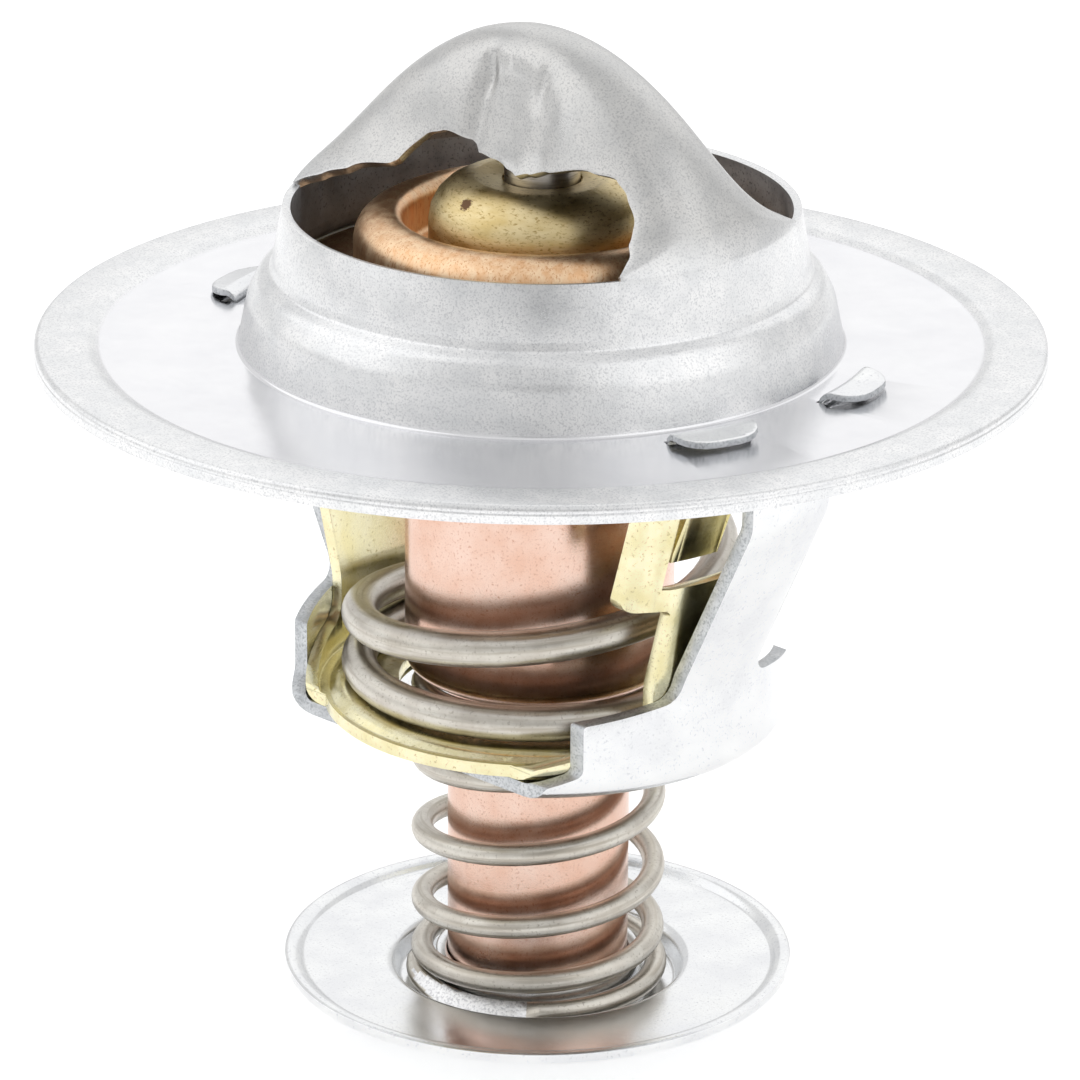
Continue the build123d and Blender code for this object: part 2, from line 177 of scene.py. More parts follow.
def prism(outline, depth):
    """Prism along X, to both sides, over an outline of (y, z, corner radius)."""
    bm = bmesh.new()
    face = bm.faces.new([bm.verts.new((-depth, y, z)) for y, z, _ in outline])
    grown = bmesh.ops.extrude_face_region(bm, geom=[face])["geom"]
    far = [item for item in grown if isinstance(item, bmesh.types.BMVert)]
    bmesh.ops.translate(bm, vec=(2 * depth, 0, 0), verts=far)
    bmesh.ops.recalc_face_normals(bm, faces=bm.faces)
    for y, z, radius in outline:
        if radius:
            edge = [
                e for e in bm.edges
                if all(hypot(v.co.y - y, v.co.z - z) < SAME_PLACE for v in e.verts)
            ]
            roll(bm, edge, radius)
    return bm


def as_object(bm, name="part"):
    """Scene object of a bmesh, which is freed."""
    mesh = bpy.data.meshes.new(name)
    bm.to_mesh(mesh)
    bm.free()
    obj = bpy.data.objects.new(name, mesh)
    bpy.context.scene.collection.objects.link(obj)
    return obj


def carve(bm, tool, operation):
    """The closed mesh with a second one cut out of it, or what both hold in common."""
    body = as_object(bm)
    cutter = as_object(tool)
    modifier = body.modifiers.new("carve", "BOOLEAN")
    modifier.operation = operation
    modifier.solver = "EXACT"
    modifier.object = cutter
    seen = body.evaluated_get(bpy.context.evaluated_depsgraph_get())
    result = bmesh.new()
    result.from_mesh(seen.data)
    for obj in (body, cutter):
        mesh = obj.data
        bpy.data.objects.remove(obj)
        bpy.data.meshes.remove(mesh)
    bmesh.ops.remove_doubles(result, verts=result.verts, dist=SAME_PLACE / 2)
    return result


def join(bm, other):
    """Adds a second mesh to the first."""
    mesh = bpy.data.meshes.new("joined")
    other.to_mesh(mesh)
    other.free()
    bm.from_mesh(mesh)
    bpy.data.meshes.remove(mesh)
    return bm


def finished(name, bm, body, replaced, material):
    """Puts a piece in the scene in metres, shaded smooth up to its sharp edges.

    material is one finish, or two: of the skin and of the faces with index 1.
    """
    bmesh.ops.transform(bm, matrix=Matrix.Scale(MM, 4), verts=bm.verts)
    for face in bm.faces:
        face.smooth = True
    for edge in bm.edges:
        edge.smooth = edge.calc_face_angle(0.0) < SHARP_TURN
    finishes = material if isinstance(material, tuple) else (material,)
    for face in bm.faces:
        face.material_index = min(face.material_index, len(finishes) - 1)
    obj = as_object(bm, name)
    for finish in finishes:
        obj.data.materials.append(finish)
    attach(obj, body)
    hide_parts(replaced)
    return obj


def easing(t):
    """Smooth step from 0 to 1."""
    t = min(1.0, max(0.0, t))
    return t * t * (3 - 2 * t)


# ---- materials -------------------------------------------------------------


def linear(code):
    """Linear colour of an sRGB hex value."""
    parts = [int(code[i:i + 2], 16) / 255 for i in (1, 3, 5)]
    return [p / 12.92 if p < 0.04045 else ((p + 0.055) / 1.055) ** 2.4 for p in parts] + [1]


def add(tree, kind, sockets, **settings):
    """Adds a node with its settings; sockets maps each input to a value or a link."""
    made = tree.nodes.new(kind)
    for key, value in settings.items():
        setattr(made, key, value)
    for socket, value in sockets.items():
        if isinstance(value, bpy.types.NodeSocket):
            tree.links.new(value, made.inputs[socket])
        elif isinstance(value, str):
            made.inputs[socket].default_value = linear(value)
        else:
            made.inputs[socket].default_value = value
    return made.outputs


def per_mm(size):
    """Noise scale, in metres, for marks of that size in millimetres."""
    return 1 / (size * MM)


def begun(name, **values):
    """A material with constants set on its shader, and its object coordinates."""
    material = bpy.data.materials.new(name)
    material.use_nodes = True
    tree = material.node_tree
    bsdf = tree.nodes["Principled BSDF"]
    for key, value in values.items():
        bsdf.inputs[key].default_value = value
    place = add(tree, "ShaderNodeTexCoord", {})["Object"]
    return material, tree, bsdf, place


def metal_skin(tree, bsdf, place, tones, cloud, pit, pit_tone, pits, rough, depth):
    """Clouds of two tones with fine dark pits, which also roughen the surface.

    cloud and pit are sizes in millimetres, pits the share of noise that shows as pits,
    rough the roughness of the two tones, and depth the bump's depth in millimetres.
    """
    clouds = add(
        tree, "ShaderNodeTexNoise",
        {"Vector": place, "Scale": per_mm(cloud), "Detail": 3.0, "Roughness": 0.6},
    )[0]
    grain = add(
        tree, "ShaderNodeTexNoise",
        {"Vector": place, "Scale": per_mm(pit), "Detail": 2.0, "Roughness": 0.65},
    )[0]
    blend = add(tree, "ShaderNodeMapRange", {0: clouds, 1: 0.36, 2: 0.64})[0]
    tone = add(
        tree, "ShaderNodeMix", {0: blend, 6: tones[0], 7: tones[1]}, data_type="RGBA",
    )[2]
    clean = add(tree, "ShaderNodeMapRange", {0: grain, 1: pits, 2: pits + 0.14})[0]
    skin = add(tree, "ShaderNodeMix", {0: clean, 6: pit_tone, 7: tone}, data_type="RGBA")[2]
    gloss = add(
        tree, "ShaderNodeMapRange", {0: clouds, 1: 0.3, 2: 0.7, 3: rough[0], 4: rough[1]},
    )[0]
    relief = add(tree, "ShaderNodeBump", {"Height": grain, "Distance": depth * MM})[0]
    tree.links.new(skin, bsdf.inputs["Base Color"])
    tree.links.new(gloss, bsdf.inputs["Roughness"])
    tree.links.new(relief, bsdf.inputs["Normal"])
    return skin, gloss, grain


def pressed_zinc_steel():
    """Zinc-plated deep-drawn steel: matt and finely pitted where it was stretched.

    The bridge above the collar is painted greyer, as painted shade where it faces the darker
    front. The flat ring inside the rim, which the tool didn't stretch, stays smooth and satin.
    """
    material, tree, bsdf, place = begun("pressed_zinc_steel", Metallic=1.0)
    skin, gloss, grain = metal_skin(
        tree, bsdf, place, ("#E3E4E5", "#F0F0F0"), 2.2, 0.13, "#D0D1D3", 0.36, (0.27, 0.35),
        0.014,
    )
    spot = add(tree, "ShaderNodeSeparateXYZ", {0: place})
    flat = add(tree, "ShaderNodeCombineXYZ", {0: spot[0], 1: spot[1]})[0]
    reach = add(tree, "ShaderNodeVectorMath", {0: flat}, operation="LENGTH")[1]
    rim = (FLANGE_RADIUS - RIM_WIDTH - RIM_STEP) * MM
    inner = add(
        tree, "ShaderNodeMapRange", {0: reach, 1: rim, 2: rim + 0.3 * MM, 3: 1.0, 4: 0.0},
    )[0]
    lift = (FLANGE_TOP + 0.1) * MM
    level = add(
        tree, "ShaderNodeMapRange", {0: spot[2], 1: lift, 2: lift + 0.25 * MM, 3: 1.0, 4: 0.0},
    )[0]
    ring = add(tree, "ShaderNodeMath", {0: inner, 1: level}, operation="MULTIPLY")[0]
    satin = add(
        tree, "ShaderNodeTexNoise",
        {"Vector": place, "Scale": per_mm(6.0), "Detail": 4.0, "Roughness": 0.7},
    )[0]
    soft = add(
        tree, "ShaderNodeMix", {0: satin, 6: "#DCDCE0", 7: "#F0F0F1"}, data_type="RGBA",
    )[2]
    # painted shade: from the collar's top up, the bridge's colour is multiplied by a grey tone
    collar = (FLANGE_TOP + COLLAR_HEIGHT) * MM
    drawn = add(
        tree, "ShaderNodeMapRange", {0: spot[2], 1: collar - 0.5 * MM, 2: collar + 2.0 * MM},
    )[0]
    bridge_shaded = add(
        tree, "ShaderNodeMix", {0: drawn, 6: skin, 7: "#DDDCDA"},
        data_type="RGBA", blend_type="MULTIPLY",
    )[2]
    tone = add(tree, "ShaderNodeMix", {0: ring, 6: bridge_shaded, 7: soft}, data_type="RGBA")[2]
    worn = add(tree, "ShaderNodeMapRange", {0: ring, 3: 1.0, 4: 0.62})[0]
    final = add(tree, "ShaderNodeMath", {0: gloss, 1: worn}, operation="MULTIPLY")[0]
    depth = add(tree, "ShaderNodeMapRange", {0: ring, 3: 1.0, 4: 0.12})[0]
    relief = add(
        tree, "ShaderNodeBump", {"Height": grain, "Strength": depth, "Distance": 0.012 * MM},
    )[0]
    tree.links.new(tone, bsdf.inputs["Base Color"])
    tree.links.new(final, bsdf.inputs["Roughness"])
    tree.links.new(relief, bsdf.inputs["Normal"])
    return material


def shaded_zinc_inside():
    """Inside of the drawn collar and bridge: the same zinc sheet, smooth, painted dark grey as
    painted shade.
    """
    material, tree, bsdf, place = begun("shaded_zinc_inside", Metallic=0.6)
    metal_skin(
        tree, bsdf, place, ("#7C7E82", "#9C9EA2"), 2.5, 0.2, "#6A6B6E", 0.31, (0.45, 0.6), 0.006,
    )
    return material


def bright_zinc_steel():
    """Bright zinc-plated strip: pale and smooth, with sparse specks and faint clouds."""
    material, tree, bsdf, place = begun("bright_zinc_steel", Metallic=1.0)
    metal_skin(
        tree, bsdf, place, ("#DFE0E2", "#EDEEEE"), 4.0, 0.2, "#D2D3D6", 0.29, (0.13, 0.27), 0.003,
    )
    return material


def yellow_zinc_steel():
    """Yellow-passivated zinc on strip steel: pale brassy yellow, satin, lightly flecked."""
    material, tree, bsdf, place = begun("yellow_zinc_steel", Metallic=1.0)
    metal_skin(
        tree, bsdf, place, ("#E2D8A8", "#F2ECC8"), 2.5, 0.25, "#C8BB8C", 0.27, (0.18, 0.28), 0.004,
    )
    return material


def drawn_copper():
    """Deep-drawn copper: warm and satin, a little darker in patches from handling."""
    material, tree, bsdf, place = begun("drawn_copper", Metallic=1.0)
    metal_skin(
        tree, bsdf, place, ("#DFB8A4", "#EACDBE"), 3.5, 0.16, "#CDA08B", 0.29, (0.18, 0.28), 0.003,
    )
    return material


def turned_brass():
    """Dulled machined brass: mottled, with short dark flecks that run round the dome.

    One small brown nick sits on the dome's shoulder.
    """
    material, tree, bsdf, place = begun("turned_brass", Metallic=1.0)
    wide = add(tree, "ShaderNodeMapping", {"Vector": place, "Scale": (0.45, 0.45, 1.3)})[0]
    skin, _, grain = metal_skin(
        tree, bsdf, wide, ("#D3BC84", "#EEDDB0"), 1.4, 0.14, "#B59C66", 0.31, (0.36, 0.5), 0.012,
    )
    nick = [c * MM for c in NICK]
    reach = add(tree, "ShaderNodeVectorMath", {0: place, 1: nick}, operation="DISTANCE")[1]
    ragged = add(
        tree, "ShaderNodeMath", {0: grain, 1: -0.7 * MM, 2: reach}, operation="MULTIPLY_ADD",
    )[0]
    bare = add(tree, "ShaderNodeMapRange", {0: ragged, 1: 0.02 * MM, 2: 0.14 * MM})[0]
    tone = add(tree, "ShaderNodeMix", {0: bare, 6: "#6E543F", 7: skin}, data_type="RGBA")[2]
    tree.links.new(tone, bsdf.inputs["Base Color"])
    return material


def pressed_copper():
    """Oxidised copper sheet: orange, satin, with fine upright streaks from the press."""
    material, tree, bsdf, place = begun("pressed_copper", Metallic=1.0)
    tall = add(tree, "ShaderNodeMapping", {"Vector": place, "Scale": (1.0, 1.0, 0.16)})[0]
    metal_skin(
        tree, bsdf, tall, ("#EBBE92", "#FADCB8"), 0.6, 0.12, "#D6A276", 0.32, (0.32, 0.46), 0.007,
    )
    return material


def drawn_spring_wire():
    """Drawn spring wire: warm grey, with faint die lines that run along the wire."""
    material, tree, bsdf, place = begun("drawn_spring_wire", Metallic=1.0)
    skin = metal_skin(
        tree, bsdf, place, ("#C4BEB4", "#D8D4CB"), 2.0, 0.2, "#ADA69B", 0.28, (0.3, 0.4), 0.003,
    )[0]
    along = add(tree, "ShaderNodeUVMap", {}, uv_map=WIRE_MAP)[0]
    drawn = add(tree, "ShaderNodeMapping", {"Vector": along, "Scale": (0.12, 2.6, 1.0)})[0]
    lines = add(
        tree, "ShaderNodeTexNoise", {"Vector": drawn, "Scale": 1.0, "Detail": 3.0},
    )[0]
    worn = add(tree, "ShaderNodeMapRange", {0: lines, 1: 0.34, 2: 0.5})[0]
    tone = add(tree, "ShaderNodeMix", {0: worn, 6: "#B5AEA2", 7: skin}, data_type="RGBA")[2]
    tree.links.new(tone, bsdf.inputs["Base Color"])
    relief = add(tree, "ShaderNodeBump", {"Height": lines, "Distance": 0.008 * MM})[0]
    tree.links.new(relief, bsdf.inputs["Normal"])
    return material


def ground_wire_end():
    """Flat that a grinding wheel left on a coil's end: bare bright steel, rough."""
    material, tree, bsdf, place = begun("ground_wire_end", Metallic=1.0)
    metal_skin(
        tree, bsdf, place, ("#E2E2E3", "#F2F2F2"), 0.8, 0.2, "#C8C8CA", 0.37, (0.3, 0.42), 0.02,
    )
    return material


def sheared_edge():
    """Edge that the shear left on the strip: bare grey steel, dull and finely torn."""
    material, tree, bsdf, place = begun("sheared_edge", Metallic=1.0)
    metal_skin(
        tree, bsdf, place, ("#C0C3C6", "#DADCDE"), 1.2, 0.15, "#ADB0B3", 0.36, (0.42, 0.55), 0.02,
    )
    return material


def ground_pin_steel():
    """Centreless-ground piston steel: bright, with fine rings from the wheel."""
    material, tree, bsdf, place = begun("ground_pin_steel", Metallic=1.0)
    rings = add(tree, "ShaderNodeMapping", {"Vector": place, "Scale": (0.1, 0.1, 1.6)})[0]
    metal_skin(
        tree, bsdf, rings, ("#B7B3AF", "#CFCBC7"), 0.5, 0.15, "#A5A19D", 0.33, (0.26, 0.34), 0.003,
    )
    return material


def hidden_finish(name, tones, roughness):
    """Quiet two-tone finish of a piece that is closed in by others."""
    material, tree, bsdf, place = begun(name, Roughness=roughness)
    clouds = add(
        tree, "ShaderNodeTexNoise", {"Vector": place, "Scale": per_mm(1.5), "Detail": 3.0},
    )[0]
    tone = add(tree, "ShaderNodeMix", {0: clouds, 6: tones[0], 7: tones[1]}, data_type="RGBA")[2]
    relief = add(tree, "ShaderNodeBump", {"Height": clouds, "Distance": 0.01 * MM})[0]
    tree.links.new(tone, bsdf.inputs["Base Color"])
    tree.links.new(relief, bsdf.inputs["Normal"])
    return material


# ---- flange, collar and bridge -------------------------------------------

RIM_RAISE = 0.45
RIM_EDGE_ROUND = 0.35
RIM_FOLD = 0.52  # depth of the fold line below the rim's top
RIM_FOLD_HALF = 0.07  # half the fold line's width
RIM_FOLD_DEPTH = 0.06
COLLAR_TOP_RADIUS = 16.3
COLLAR_HEIGHT = 8.9
COLLAR_STEPS = [  # radius, height above the flange and bend of each corner below the top
    (19.15, 0.0, 0.25), (18.98, 1.0, 2.5), (18.55, 3.05, 2.2), (17.83, 4.43, 1.15),
    (17.1, 4.85, 0.3), (16.95, 5.4, 0.6),
]
SLOT_OUTER, SLOT_INNER = 21.8, 20.65
SLOT_FIRST, SLOT_LAST = 7, 20  # turning steps either side of the leg's middle
FOOT_STEPS = 23  # turning steps from the leg's middle to a window

BRIDGE_RISE = 20.4
BRIDGE_WIDTH = 4.7
BRIDGE_ROUNDING = 3.4  # drop over which the back rounds into its flanks
BRIDGE_FLARE = 4.9
BRIDGE_FLARE_HEIGHT = 0.17  # share of the bridge's height over which the flare dies out
BRIDGE_COLUMNS = 220
CREASE = (2.5, 0.55, 0.4)  # across from the leg's middle, width, depth
CREASE_REACH = (7, 15)  # along the leg, from the bridge's middle
DENTS = [  # along from the bridge's middle, width, top and bottom above the collar, depth
    (0.0, 3.2, 10.5, 2.0, 0.9), (-1.8, 0.5, 11.0, 7.0, 0.4), (2.8, 0.5, 10.8, 6.8, 0.35),
    (-1.9, 0.7, 9.5, 2.0, 0.3), (3.8, 0.9, 9.2, 3.0, 0.35),
]
NOSE_RADIUS = 3.5
NOSE_TAPER = 1.5  # taken off the nose's radius at its top
NOSE_TOP = 9.8  # above the collar
THIN_START = 6.0  # above the flange: where the drawing begins to thin the sheet
THINNING = 0.52
WINDOW_EDGE = [  # degrees from upright, positive towards the steep side, and reach
    (-90, 14.29), (-88.5, 13.6), (-85.8, 12.33), (-82, 10.75), (-72.6, 7.86), (-69.9, 7.56),
    (-51.3, 7.04), (-41.9, 6.5), (-25.7, 5.1), (-22.5, 4.7), (-20.8, 4.2),
    (-3.9, 3.85), (18.7, 3.8), (34.5, 4.15), (43.2, 5.1), (50.5, 6.6), (59.9, 9.6),
    (65.4, 11.2), (71.1, 11.9), (78.9, 12.8), (82.9, 13.1), (85.9, 13.75), (90, 14.29),
]


def window_reach(angle):
    """Distance from the collar's centre to the window's edge, seen from the front."""
    for (a, near), (b, far) in zip(WINDOW_EDGE, WINDOW_EDGE[1:]):
        if angle <= b:
            share = (angle - a) / (b - a)
            return near + (far - near) * (share + easing(share)) / 2
    return WINDOW_EDGE[-1][1]


def smaller(a, b, blend):
    """The smaller of two distances, rounded over where they are alike."""
    if blend <= 0:
        return min(a, b)
    mixed = max(blend - abs(a - b), 0.0) / blend
    return min(a, b) - mixed * mixed * blend / 4


def dent(place, height, centre, width, top, bottom, depth):
    """Depth of an upright dent pressed into the bridge's flank."""
    across = exp(-((place - centre) / width) ** 2)
    return depth * across * easing((top - height) / 2.0) * easing((height - bottom) / 2.0)


def crease(along, across):
    """Depth of the crease that runs down one leg of the bridge."""
    middle, width, depth = CREASE
    start, end = CREASE_REACH
    valley = exp(-((abs(across) - middle) / width) ** 2)
    return depth * valley * easing((along - start) / 2) * easing((end - along) / 2)


def inside_bridge(x, y, height):
    """How far a point lies inside the bridge; heights are above the collar."""
    rise = BRIDGE_RISE - COLLAR_HEIGHT
    share = min(1.0, max(0.0, height / rise))
    dome = COLLAR_TOP_RADIUS * sqrt(1 - share ** 1.2) - hypot(x, y)
    crest = rise * max(0.0, 1 - (x / COLLAR_TOP_RADIUS) ** 2) ** (1 / 1.2)
    back = sqrt(1 - exp(-max(0.0, crest - height) / BRIDGE_ROUNDING))
    ridge = BRIDGE_WIDTH * back + BRIDGE_FLARE * exp(-share / BRIDGE_FLARE_HEIGHT) - abs(y)
    along = x if y < 0 else -x  # the back is the front turned half round
    dome -= crease(along, y)
    for mark in DENTS:
        ridge -= dent(along, height, *mark)
    body = smaller(dome, ridge, 0.8 * easing(share / 0.2))
    slim = NOSE_RADIUS - NOSE_TAPER * easing((height - 4) / 5)
    nose = min(slim - hypot(x, y), NOSE_TOP - height)
    return -smaller(-body, -nose, 1.1)


def bridge_point(longitude, latitude):
    """Point of the bridge's outside along a ray from the collar's centre."""
    ray = Vector((
        sin(longitude) * cos(latitude), sin(latitude), cos(longitude) * cos(latitude),
    ))
    near, far = 1.0, BRIDGE_RISE
    for _ in range(30):
        middle = (near + far) / 2
        if inside_bridge(*(ray * middle)) > 0:
            near = middle
        else:
            far = middle
    return ray * near


def bridge_edge(longitude):
    """Latitude at which the bridge's front edge meets the window's outline."""
    reach = window_reach(degrees(longitude))
    near, far = 0.0, radians(70)
    for _ in range(24):
        middle = (near + far) / 2
        point = bridge_point(longitude, -middle)
        if hypot(point.x, point.z) > reach:
            near = middle
        else:
            far = middle
    return near


def lay_bridge(bm):
    """Grid of the bridge's outside, its feet on the collar's top ring."""
    rows = 2 * FOOT_STEPS
    made = bmesh.ops.create_grid(bm, x_segments=BRIDGE_COLUMNS, y_segments=rows, size=1)
    quarter = pi / 2
    edges = {}
    for vert in made["verts"]:
        column = round(vert.co.x * BRIDGE_COLUMNS / 2)
        along = column / (BRIDGE_COLUMNS / 2)
        across = (vert.co.y + 1) / 2
        longitude = quarter * sin(quarter * along)
        if column not in edges:
            edges[column] = (bridge_edge(longitude), bridge_edge(-longitude))
        front, back = edges[column]
        if abs(along) == 1:
            latitude = (round(across * rows) - FOOT_STEPS) * STEP_ANGLE
            vert.co = Vector((along * cos(latitude), sin(latitude), 0)) * COLLAR_TOP_RADIUS
        else:
            latitude = -front + across * (front + back)
            vert.co = bridge_point(longitude, latitude)
        vert.co.z += FLANGE_TOP + COLLAR_HEIGHT


def fold_line(bm):
    """Fine line round the rim's edge, where the sheared face meets the rolled one."""
    level = FLANGE_TOP + RIM_RAISE - RIM_FOLD
    for height in (level - RIM_FOLD_HALF, level, level + RIM_FOLD_HALF):
        band = [
            face for face in bm.faces if abs(face.normal.z) < 0.1
            and all(hypot(v.co.x, v.co.y) > FLANGE_RADIUS - SAME_PLACE for v in face.verts)
        ]
        parts = dict.fromkeys(item for face in band for item in (*face.verts, *face.edges))
        bmesh.ops.bisect_plane(
            bm, geom=[*band, *parts], dist=SAME_PLACE / 4,
            plane_co=(0, 0, height), plane_no=(0, 0, 1),
        )
    line = {vert for edge in ring_edges(bm, FLANGE_RADIUS, level) for vert in edge.verts}
    inward = 1 - RIM_FOLD_DEPTH / FLANGE_RADIUS
    bmesh.ops.scale(bm, vec=(inward, inward, 1), verts=list(line))


def flange_pressing():
    """Flange, collar and bridge, drawn from one sheet."""
    top = FLANGE_TOP
    rim = FLANGE_RADIUS - RIM_WIDTH
    section = [
        (FLANGE_RADIUS, top + RIM_RAISE),
        (rim, top + RIM_RAISE),
        (rim - RIM_STEP, top),
        (SLOT_OUTER, top),
        (SLOT_INNER, top),
    ]
    bends = [(1, 1.2), (2, 0.6)]
    for radius, height, bend in COLLAR_STEPS:
        bends.append((len(section), bend))
        section.append((radius, top + height))
    section.append((COLLAR_TOP_RADIUS, top + COLLAR_HEIGHT))
    bm = turned(section, bends)
    slots = []
    for face in bm.faces:
        centre = face.calc_center_median()
        reach = hypot(centre.x, centre.y)
        if SLOT_INNER < reach < SLOT_OUTER and centre.z < top + SAME_PLACE:
            if SLOT_FIRST < atan2(abs(centre.y), abs(centre.x)) / STEP_ANGLE < SLOT_LAST:
                slots.append(face)
    bmesh.ops.delete(bm, geom=slots, context="FACES")
    lay_bridge(bm)
    bmesh.ops.remove_doubles(bm, verts=bm.verts, dist=SAME_PLACE)
    bmesh.ops.recalc_face_normals(bm, faces=bm.faces)
    thicken(
        bm, PRESSING_SHEET, lambda face: face.normal.z > 0,
        lambda place: 1 - THINNING * easing((place.z - top - THIN_START) / 2.5),
    )
    for face in bm.faces:
        if face.calc_center_median().z < top + RIM_RAISE:
            face.material_index = 0
    fold_line(bm)
    roll(bm, ring_edges(bm, FLANGE_RADIUS, top + RIM_RAISE), RIM_EDGE_ROUND)
    return ease(bm, 0.1)


# ---- strap and spring seat frame -----------------------------------------

STRAP_RADIUS = 16.0
STRAP_LEAN = (18.6, 6.6)  # below the flange: where the legs start and stop leaning
STRAP_HEAD_RADIUS = 21.7
STRAP_PLATE_HALF = 11.2
STRAP_WALL_HALF = 9.4
STRAP_WALL_RISE = (5.1, 6.0)  # at its ends and beside the leg
STRAP_LEG_HALF = 3.5
STRAP_HEAD_HALF = 9.2
STRAP_FLARE = (2.2, 3.4)  # above the lean: where the leg widens into its head
HOLE_RADIUS = 9.3
TAB_WIDTH = 2.5  # from the slot's inner side outward
TAB_NARROWING = 0.2  # at each side, towards the outer end
TAB_HEIGHT = 0.6
TAB_EDGE = 0.45  # its thickness
TAB_BEND = 0.8  # reach of the bend at its root
TAB_DROOP = 0.12
TAB_FIRST, TAB_LAST = 9.0, 24.7  # degrees from the leg's middle
ROOM = 40.0  # reach of a cutting prism
BELOW = 1.0  # how far a cut starts below the sheet


def downward(face):
    """True where a sheet's face looks down or away from the axis."""
    centre = face.calc_center_median()
    return face.normal.dot(Vector((centre.x, centre.y, -STRAP_RADIUS))) > 0


def leg_room(half):
    """Prism along X over both legs' side outline, given for +Y as prism() takes it."""
    return prism(half + [(-y, z, radius) for y, z, radius in reversed(half)], ROOM)


def tab():
    """One ear bent outward over the flange: a flat petal with a rounded outer end."""
    inner = STRAP_HEAD_RADIUS - STRAP_SHEET
    half = inner * radians(TAB_LAST - TAB_FIRST) / 2
    end = half - TAB_NARROWING
    outline = [(-half, 0, 0.1), (half, 0, 0.1), (end, TAB_WIDTH, 2.1), (-end, TAB_WIDTH, 2.1)]
    bm = ease(prism(outline, TAB_EDGE / 2), 0.1)
    cuts = [(0, 0, k * TAB_WIDTH / 10) for k in range(1, 10)]
    cuts += [(0, k * half / 8, 0) for k in range(-7, 8)]
    for cut in cuts:
        bmesh.ops.bisect_plane(
            bm, geom=[*bm.verts, *bm.edges, *bm.faces], dist=SAME_PLACE / 4,
            plane_co=cut, plane_no=(0, 0, 1) if cut[2] else (0, 1, 0),
        )
    for vert in bm.verts:
        height, along, out = vert.co
        bend = max(0.0, TAB_BEND - out)
        lift = TAB_HEIGHT - bend * bend - TAB_DROOP * out
        turn = along / inner
        reach = inner + out
        vert.co = Vector((reach * cos(turn), reach * sin(turn), FLANGE_TOP + lift + height))
    bmesh.ops.recalc_face_normals(bm, faces=bm.faces)
    for face in bm.faces:
        face.material_index = 1 if abs(face.normal.z) < 0.5 else 0
    middle = radians(TAB_FIRST + TAB_LAST) / 2
    turn = Matrix.Rotation(middle, 3, "Z")
    bmesh.ops.rotate(bm, verts=bm.verts, cent=(0, 0, 0), matrix=turn)
    return bm


def lower_strap():
    """Strap under the spring seat, with curved walls, leaning legs and four tabs."""
    lean_start = FLANGE_TOP - STRAP_LEAN[0]
    lean_end = FLANGE_TOP - STRAP_LEAN[1]
    section = [
        (HOLE_RADIUS, STRAP_BOTTOM),
        (STRAP_RADIUS, STRAP_BOTTOM),
        (STRAP_RADIUS, lean_start),
        (STRAP_HEAD_RADIUS, lean_end),
        (STRAP_HEAD_RADIUS, FLANGE_TOP - PRESSING_SHEET),
    ]
    skin = turned(section, [(1, 1.3), (2, 4.0), (3, 2.5)])
    thicken(skin, STRAP_SHEET, downward)
    plate_edge = STRAP_BOTTOM + STRAP_SHEET
    half = [
        (STRAP_PLATE_HALF, STRAP_BOTTOM - BELOW, 0),
        (STRAP_PLATE_HALF, plate_edge + 0.1, 0.3),
        (STRAP_WALL_HALF, plate_edge + 0.9, 0.6),
        (STRAP_WALL_HALF, STRAP_BOTTOM + STRAP_WALL_RISE[0], 0.25),
        (STRAP_LEG_HALF, STRAP_BOTTOM + STRAP_WALL_RISE[1], 1.2),
        (STRAP_LEG_HALF, lean_end + STRAP_FLARE[0], 1.0),
        (STRAP_HEAD_HALF, lean_end + STRAP_FLARE[1], 0.5),
        (STRAP_HEAD_HALF, FLANGE_TOP, 0),
    ]
    bm = carve(skin, leg_room(half), "INTERSECT")
    for face in bm.faces:
        across = abs(face.normal.x) < 0.02
        raised = face.calc_center_median().z > plate_edge + 0.1
        face.material_index = 1 if across and (raised or abs(face.normal.y) > 0.3) else 0
    ease(bm, 0.07)
    for side in (0, pi):
        for mirrored in (False, True):
            ear = tab()
            if mirrored:
                bmesh.ops.scale(ear, vec=(1, -1, 1), verts=ear.verts)
                bmesh.ops.reverse_faces(ear, faces=ear.faces)
            turn = Matrix.Rotation(side, 3, "Z")
            bmesh.ops.rotate(ear, verts=ear.verts, cent=(0, 0, 0), matrix=turn)
            join(bm, ear)
    return bm


SEAT_PLATFORM_RADIUS = 12.95
SEAT_FLANGE_RADIUS = 13.9
SEAT_STEP = 0.55
SEAT_LEG_RADIUS = 15.07
SEAT_LEG_TOP_RADIUS = 16.4
SEAT_HEAD_RADIUS = 19.3
SEAT_FOOT_RADIUS = 20.4
SEAT_HOLE_RADIUS = 9.05
SEAT_EAR_DROP = 13.3
SEAT_EAR_CLEAR = 0.45  # keeps the ears' lower edge off the bend
SEAT_EAR_HALF = 7.4
SEAT_EAR_BEND = (4.8, 0.34)  # where the ears begin to turn in, and how steeply
SEAT_LEG_HALF = 4.65
SEAT_PLATE_HALF = 11.2
SEAT_WINDOW_HALF = 5.5
SEAT_WINDOW_DROP = (11.3, 9.6)
SEAT_TONGUE = (1.4, 4.9)  # across, from the leg's middle
SEAT_TONGUE_BEND = 0.7  # inward, at its free end
SEAT_SLIT_DROP = 4.5
OVERLAP = 0.01  # of two cuts that meet


def block(x, y, z):
    """Box between pairs of coordinates."""
    bm = bmesh.new()
    bmesh.ops.create_cube(bm, size=1)
    for vert in bm.verts:
        vert.co = Vector([
            span[1] if place > 0 else span[0] for place, span in zip(vert.co, (x, y, z))
        ])
    return bm


